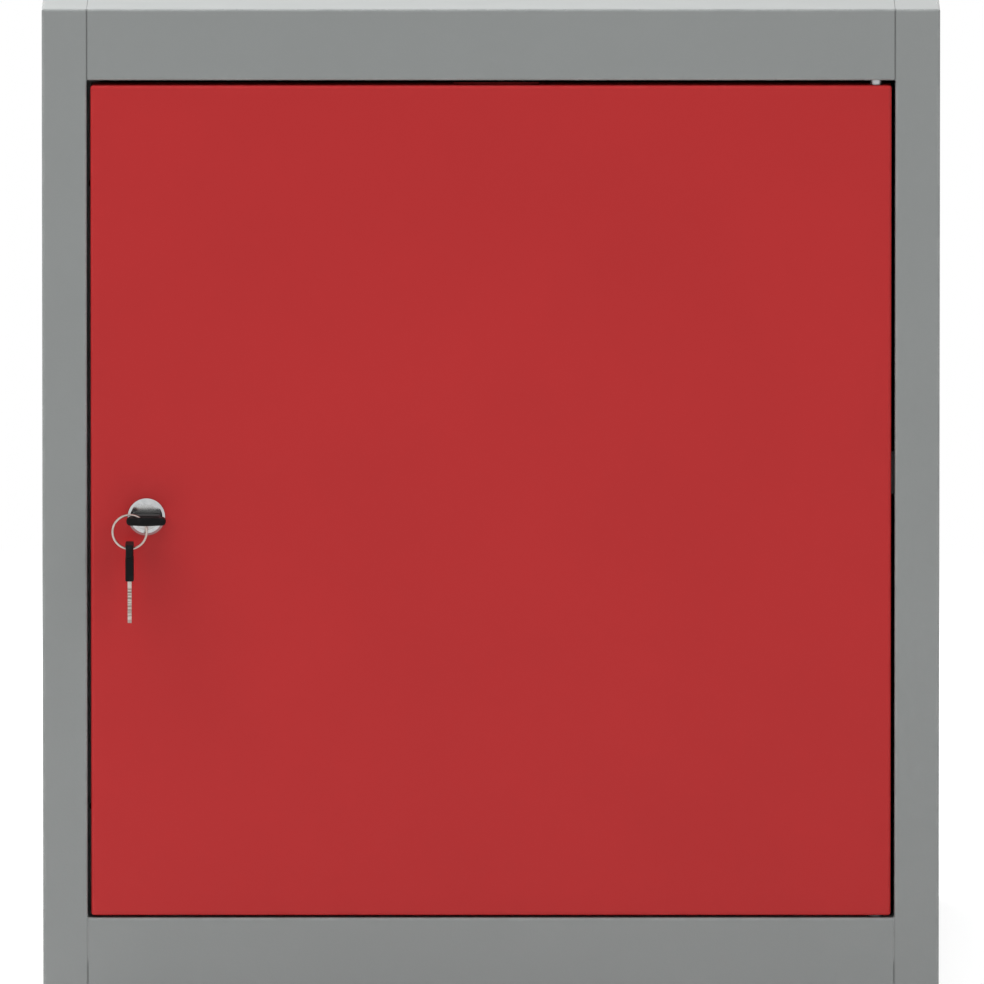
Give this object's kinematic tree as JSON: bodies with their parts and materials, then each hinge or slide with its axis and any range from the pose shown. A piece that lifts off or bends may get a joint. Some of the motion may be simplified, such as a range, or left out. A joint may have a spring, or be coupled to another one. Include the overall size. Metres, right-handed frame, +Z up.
{
  "type": "tool cabinet",
  "caption": "Sheet-steel tool cabinet with a flush hinged door, a cam lock with its keys on a ring, an adjustable shelf inside and low feet.",
  "frame": {"origin": "middle of the bounding box at the floor, under the feet; the box reaches forward to the spare key's bow", "axes": "+X to the right as seen from the front, +Y towards the back, +Z up; the door is on the -Y side"},
  "size_m": [0.5, 0.531, 0.565],
  "materials": {
    "grey_coat": "fine satin powder coat",
    "red_coat": "smooth satin powder coat",
    "zinc_plate": "bright zinc plating",
    "nickel_plate": "nickel plating",
    "chrome_plate": "bright chrome plating on zinc",
    "black_moulding": "moulded, fine sheen",
    "foot_plastic": "moulded",
    "black_nylon": "moulded black nylon",
    "black_rubber": "soft rubber"
  },
  "bodies": {
    "carcass": {"side_panel_left": "grey_coat", "side_panel_right": "grey_coat", "top_panel": "grey_coat", "bottom_panel": "grey_coat", "back_panel": "grey_coat", "upright_front_left": "grey_coat", "upright_front_right": "grey_coat", "upright_rear_left": "grey_coat", "upright_rear_right": "grey_coat", "clip_front_left": "zinc_plate", "clip_front_right": "zinc_plate", "clip_rear_left": "zinc_plate", "clip_rear_right": "zinc_plate", "foot_nuts": "zinc_plate", "hinge_pin_top": "zinc_plate", "hinge_nut": "zinc_plate", "hinge_pin_bottom": "zinc_plate", "foot_front_left": "foot_plastic", "foot_front_right": "foot_plastic", "foot_rear_left": "foot_plastic", "foot_rear_right": "foot_plastic", "door_buffers": "black_rubber"},
    "shelf": {"shelf": "grey_coat"},
    "door": {"door_panel": "red_coat", "door_channel": "red_coat", "hinge_plate_top": "red_coat", "hinge_plate_bottom": "red_coat", "hinge_bush_top": "black_nylon", "hinge_bush_bottom": "black_nylon", "lock_body": "chrome_plate", "lock_nut": "zinc_plate"},
    "lock_plug": {"lock_plug": "nickel_plate", "lock_cam": "zinc_plate", "cam_washer": "zinc_plate", "cam_screw": "zinc_plate"},
    "key": {"key_blade": "nickel_plate", "key_bow": "black_moulding"},
    "key_ring": {"key_ring": "nickel_plate"},
    "spare_key": {"spare_key_blade": "nickel_plate", "spare_key_bow": "black_moulding"}
  },
  "joints": [
    {"name": "door_hinge", "type": "hinge", "parent": "carcass", "child": "door", "pos_m": [0.2145, -0.2275, 0.29], "axis": [0, 0, 1], "range_deg": [0, 110]},
    {"name": "lock_turn", "type": "hinge", "parent": "door", "child": "lock_plug", "pos_m": [-0.192, -0.2345, 0.2805], "axis": [0, -1, 0], "range_deg": [0, 90]},
    {"name": "key_pull", "type": "slide", "parent": "lock_plug", "child": "key", "axis": [0, -1, 0], "range_m": [0, 0.025]},
    {"name": "ring_hang", "type": "hinge", "parent": "key", "child": "key_ring", "pos_m": [-0.2012, -0.2545, 0.2805], "axis": [0, -1, 0], "range_deg": [-90, 0]},
    {"name": "spare_key_swing", "type": "hinge", "parent": "key_ring", "child": "spare_key", "pos_m": [-0.2012, -0.2545, 0.27435], "axis": [0, -1, 0], "range_deg": [-40, 40]},
    {"name": "shelf_lift", "type": "slide", "parent": "carcass", "child": "shelf", "axis": [0, 0, 1], "range_m": [0, 0.02]}
  ],
  "couplings": [
    {"joint": "ring_hang", "follows": "lock_turn", "ratio": -1}
  ]
}
